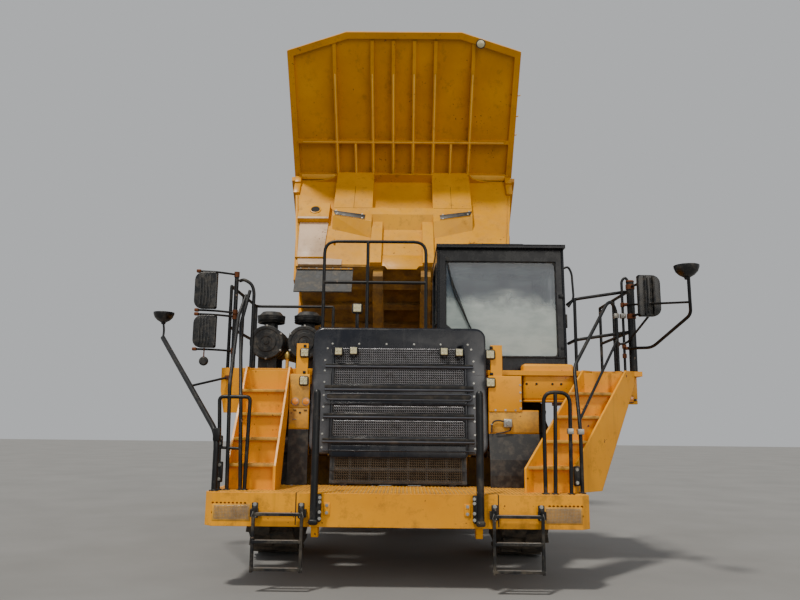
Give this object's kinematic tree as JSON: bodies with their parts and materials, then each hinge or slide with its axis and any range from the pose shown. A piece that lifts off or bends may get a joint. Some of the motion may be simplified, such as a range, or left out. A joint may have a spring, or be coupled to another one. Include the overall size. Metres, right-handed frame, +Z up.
{
  "type": "rigid dump truck",
  "caption": "Off-highway rigid haul truck with front steering, twin rear wheels, side cab, walkway bumper and a raised tipping bed.",
  "frame": {"origin": "on the ground under the middle of the bounding box, bed raised", "axes": "+Z up, -Y is the way the truck drives, +X is the cab side"},
  "size_m": [6.6, 10.8088, 9.2265],
  "materials": {
    "yellow_paint": "satin",
    "dark_paint": "satin",
    "frame_paint": "dirty satin",
    "tyre_rubber": "matte",
    "chrome_rod": "polished",
    "window_glass": "gloss",
    "lamp_glass": "gloss",
    "cab_trim": "matte",
    "engine_iron": "rough"
  },
  "bodies": {
    "chassis": {"frame": "frame_paint", "bumper": "yellow_paint", "hood": "dark_paint", "grille": "dark_paint", "engine": "engine_iron", "left_deck": "yellow_paint", "right_deck": "yellow_paint", "left_stairs": "yellow_paint", "right_stairs": "yellow_paint", "ladders": "yellow_paint", "front_panels": "yellow_paint", "fender_flaps": "dark_paint", "cab_shell": "dark_paint", "cab_glass": "window_glass", "cab_interior": "cab_trim", "air_cleaners": "yellow_paint", "handrails": "yellow_paint", "left_mirrors": "dark_paint", "right_mirrors": "dark_paint", "front_suspension": "frame_paint", "rear_axle": "frame_paint", "rear_suspension": "frame_paint", "fuel_tank": "yellow_paint", "hydraulic_tank": "yellow_paint", "lamps": "lamp_glass", "guard_tubes": "dark_paint"},
    "bed": {"bed_floor": "yellow_paint", "bed_front": "yellow_paint", "bed_sides": "yellow_paint", "bed_fittings": "dark_paint"},
    "door": {"cab_door": "dark_paint", "door_glass": "window_glass"},
    "knuckle_left_body": {"knuckle_left": "frame_paint"},
    "knuckle_right_body": {"knuckle_right": "frame_paint"},
    "tie_rod_body": {"tie_rod": "frame_paint"},
    "wheel_front_left": {"tyre_front_left": "tyre_rubber", "rim_front_left": "yellow_paint"},
    "wheel_front_right": {"tyre_front_right": "tyre_rubber", "rim_front_right": "yellow_paint"},
    "wheels_rear_left": {"tyres_rear_left": "tyre_rubber", "rims_rear_left": "yellow_paint"},
    "wheels_rear_right": {"tyres_rear_right": "tyre_rubber", "rims_rear_right": "yellow_paint"},
    "barrel_left": {"hoist_barrel_left": "frame_paint"},
    "sleeve_left": {"hoist_sleeve_left": "chrome_rod"},
    "rod_left": {"hoist_rod_left": "chrome_rod"},
    "barrel_right": {"hoist_barrel_right": "frame_paint"},
    "sleeve_right": {"hoist_sleeve_right": "chrome_rod"},
    "rod_right": {"hoist_rod_right": "chrome_rod"}
  },
  "joints": [
    {"name": "bed_hinge", "type": "hinge", "parent": "chassis", "child": "bed", "pos_m": [0, 2.24025, 1.38], "axis": [-1, 0, 0], "range_deg": [-48.5, 0]},
    {"name": "door_hinge", "type": "hinge", "parent": "chassis", "child": "door", "pos_m": [2.18, -2.56575, 3.1], "axis": [0, 0, 1], "range_deg": [0, 65]},
    {"name": "steer_left", "type": "hinge", "parent": "chassis", "child": "knuckle_left_body", "pos_m": [1.1, -2.87975, 1.085], "axis": [0, 0, 1], "range_deg": [-30, 30]},
    {"name": "steer_right", "type": "hinge", "parent": "chassis", "child": "knuckle_right_body", "pos_m": [-1.1, -2.87975, 1.085], "axis": [0, 0, 1], "range_deg": [-30, 30]},
    {"name": "tie_rod_pivot", "type": "hinge", "parent": "knuckle_left_body", "child": "tie_rod_body", "pos_m": [1.1, -2.54975, 0.88], "axis": [0, 0, 1], "range_deg": [-30, 30]},
    {"name": "spin_front_left", "type": "hinge", "parent": "knuckle_left_body", "child": "wheel_front_left", "pos_m": [1.6, -2.87975, 1.085], "axis": [1, 0, 0], "continuous": true},
    {"name": "spin_front_right", "type": "hinge", "parent": "knuckle_right_body", "child": "wheel_front_right", "pos_m": [-1.6, -2.87975, 1.085], "axis": [1, 0, 0], "continuous": true},
    {"name": "spin_rear_left", "type": "hinge", "parent": "chassis", "child": "wheels_rear_left", "pos_m": [1.495, 1.22025, 1.085], "axis": [1, 0, 0], "continuous": true},
    {"name": "spin_rear_right", "type": "hinge", "parent": "chassis", "child": "wheels_rear_right", "pos_m": [-1.495, 1.22025, 1.085], "axis": [1, 0, 0], "continuous": true},
    {"name": "barrel_left_pivot", "type": "hinge", "parent": "chassis", "child": "barrel_left", "pos_m": [0.63, 0.22025, 0.65], "axis": [-1, 0, 0], "range_deg": [-24, 1]},
    {"name": "sleeve_left_slide", "type": "slide", "parent": "barrel_left", "child": "sleeve_left", "axis": [0, 0.3995, 0.9167], "range_m": [-0.755, 0.01]},
    {"name": "rod_left_slide", "type": "slide", "parent": "sleeve_left", "child": "rod_left", "axis": [0, 0.3995, 0.9167], "range_m": [-0.755, 0.01]},
    {"name": "barrel_right_pivot", "type": "hinge", "parent": "chassis", "child": "barrel_right", "pos_m": [-0.63, 0.22025, 0.65], "axis": [-1, 0, 0], "range_deg": [-24, 1]},
    {"name": "sleeve_right_slide", "type": "slide", "parent": "barrel_right", "child": "sleeve_right", "axis": [0, 0.3995, 0.9167], "range_m": [-0.755, 0.01]},
    {"name": "rod_right_slide", "type": "slide", "parent": "sleeve_right", "child": "rod_right", "axis": [0, 0.3995, 0.9167], "range_m": [-0.755, 0.01]}
  ],
  "couplings": [
    {"joint": "steer_right", "follows": "steer_left", "ratio": 1},
    {"joint": "tie_rod_pivot", "follows": "steer_left", "ratio": -1},
    {"joint": "barrel_left_pivot", "follows": "bed_hinge", "ratio": 0.47393},
    {"joint": "sleeve_left_slide", "follows": "bed_hinge", "m_per_rad": 0.88021},
    {"joint": "rod_left_slide", "follows": "bed_hinge", "m_per_rad": 0.88021},
    {"joint": "barrel_right_pivot", "follows": "bed_hinge", "ratio": 0.47393},
    {"joint": "sleeve_right_slide", "follows": "bed_hinge", "m_per_rad": 0.88021},
    {"joint": "rod_right_slide", "follows": "bed_hinge", "m_per_rad": 0.88021}
  ]
}
